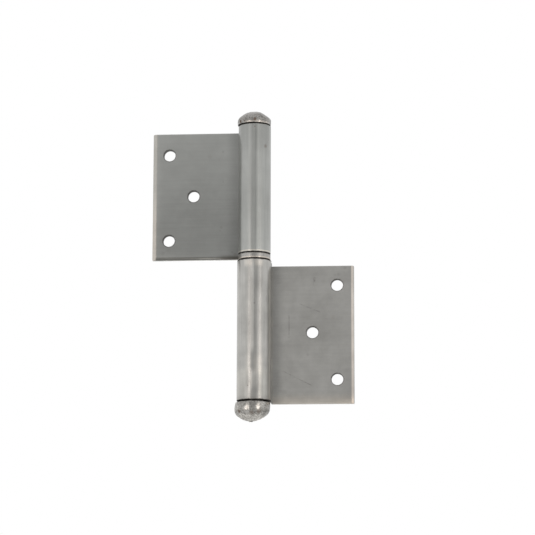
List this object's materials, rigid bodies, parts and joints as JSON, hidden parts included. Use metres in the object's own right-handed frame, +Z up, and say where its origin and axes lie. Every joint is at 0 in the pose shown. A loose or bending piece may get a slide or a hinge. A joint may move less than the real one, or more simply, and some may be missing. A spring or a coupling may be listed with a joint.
{
  "type": "lift-off hinge",
  "caption": "Lift-off hinge of rolled sheet steel: staggered flag leaves with screw holes, a bearing ring between the knuckles and domed end caps; upper leaf lifts off the fixed pin.",
  "frame": {"origin": "on the hinge axis, where it crosses the bearing face on top of the lower knuckle", "axes": "+Z up along the hinge axis, the way the upper leaf lifts off; the lower leaf reaches towards +X, the upper leaf towards -X; +Y is the outward normal of both leaves' backs, so the knuckles stand proud on the -Y side"},
  "size_m": [0.1002, 0.0174, 0.1554],
  "materials": {
    "sheet_steel": "bare rolled steel, satin, faintly cloudy, with scratches",
    "pin_steel": "turned, lightly oiled",
    "ring_steel": "turned, satin",
    "cap_steel": "hammered and mottled, bright where struck"
  },
  "bodies": {
    "lower_half": {"lower_leaf": "sheet_steel", "hinge_pin": "pin_steel", "lower_cap": "cap_steel"},
    "ring": {"bearing_ring": "ring_steel"},
    "upper_half": {"upper_leaf": "sheet_steel", "upper_cap": "cap_steel"}
  },
  "joints": [
    {"name": "swing", "type": "hinge", "parent": "lower_half", "child": "ring", "pos_m": [0, 0, 0], "axis": [0, 0, 1], "continuous": true},
    {"name": "lift_off", "type": "slide", "parent": "ring", "child": "upper_half", "axis": [0, 0, 1], "range_m": [0, 0.05]}
  ]
}
